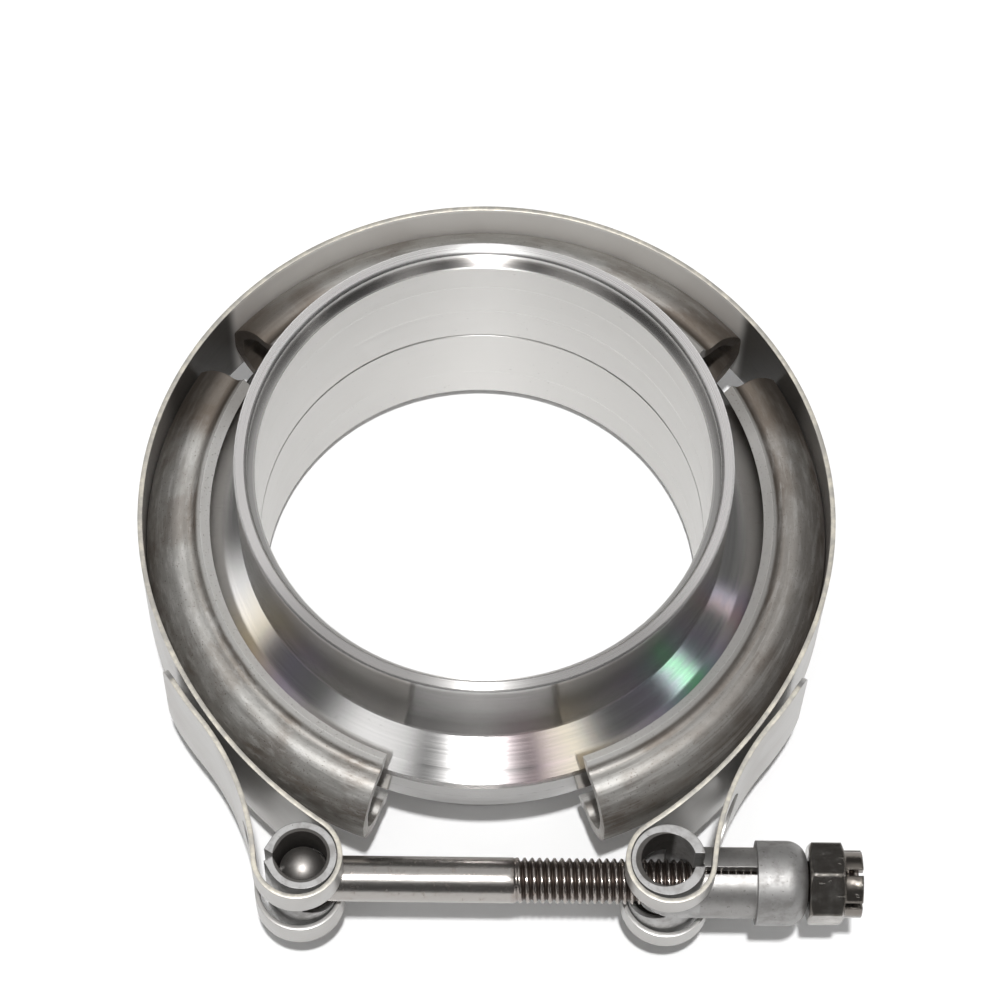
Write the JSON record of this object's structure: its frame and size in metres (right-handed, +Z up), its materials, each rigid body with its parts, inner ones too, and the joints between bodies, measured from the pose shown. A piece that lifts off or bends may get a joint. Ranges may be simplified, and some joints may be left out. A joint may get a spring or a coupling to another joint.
{
  "type": "v band clamp",
  "caption": "Round clamp of three V segments on a band, drawn shut by a T bolt and lock nut round the rims of two weld flanges that join exhaust tubes",
  "frame": {"origin": "on the flange axis, in the plane of the underside of the lower flange", "axes": "+Z up along the flange axis, +X along the bolt towards its nut, -Y towards the bolt"},
  "size_m": [0.0789, 0.0842, 0.0332],
  "materials": {
    "flange_steel": "turned bright stainless steel",
    "band_steel": "rolled bright stainless strip",
    "segment_steel": "rolled stainless sheet, dull and faintly brown",
    "barrel_steel": "tumbled matt stainless steel",
    "bolt_steel": "rolled stainless rod",
    "nut_steel": "bright plated steel"
  },
  "bodies": {
    "root": {"lower_flange": "flange_steel", "upper_flange": "flange_steel", "back_retainer": "segment_steel", "strap": "band_steel"},
    "left_arm": {"left_retainer": "segment_steel", "saddle_bush": "barrel_steel"},
    "right_arm": {"right_retainer": "segment_steel"},
    "bolt": {"t_bolt": "bolt_steel"},
    "sleeve": {"barrel_trunnion": "barrel_steel", "sleeve_cap": "barrel_steel"},
    "nut": {"lock_nut": "nut_steel"}
  },
  "joints": [
    {"name": "left_arm_swing", "type": "hinge", "parent": "root", "child": "left_arm", "pos_m": [-0.03086, 0.02158, 0.01505], "axis": [0, 0, 1], "range_deg": [-0.74, 1.83], "deforming": ["strap"]},
    {"name": "right_arm_swing", "type": "hinge", "parent": "root", "child": "right_arm", "pos_m": [0.03176, 0.02158, 0.01505], "axis": [0, 0, -1], "range_deg": [-0.74, 1.83], "deforming": ["strap"]},
    {"name": "bolt_swivel", "type": "hinge", "parent": "left_arm", "child": "bolt", "pos_m": [-0.01885, -0.0412, 0.01505], "axis": [0, 0, -1], "range_deg": [-0.74, 1.83]},
    {"name": "sleeve_swivel", "type": "hinge", "parent": "right_arm", "child": "sleeve", "pos_m": [0.01995, -0.0412, 0.01505], "axis": [0, 0, 1], "range_deg": [-0.74, 1.83]},
    {"name": "nut_turn", "type": "hinge", "parent": "sleeve", "child": "nut", "pos_m": [0.0352, -0.0412, 0.01505], "axis": [-1, 0, 0], "range_deg": [-720, 1800]}
  ],
  "couplings": [
    {"joint": "left_arm_swing", "follows": "nut_turn", "ratio": 0.0010141},
    {"joint": "right_arm_swing", "follows": "nut_turn", "ratio": 0.0010141},
    {"joint": "bolt_swivel", "follows": "nut_turn", "ratio": 0.0010141},
    {"joint": "sleeve_swivel", "follows": "nut_turn", "ratio": 0.0010141}
  ]
}
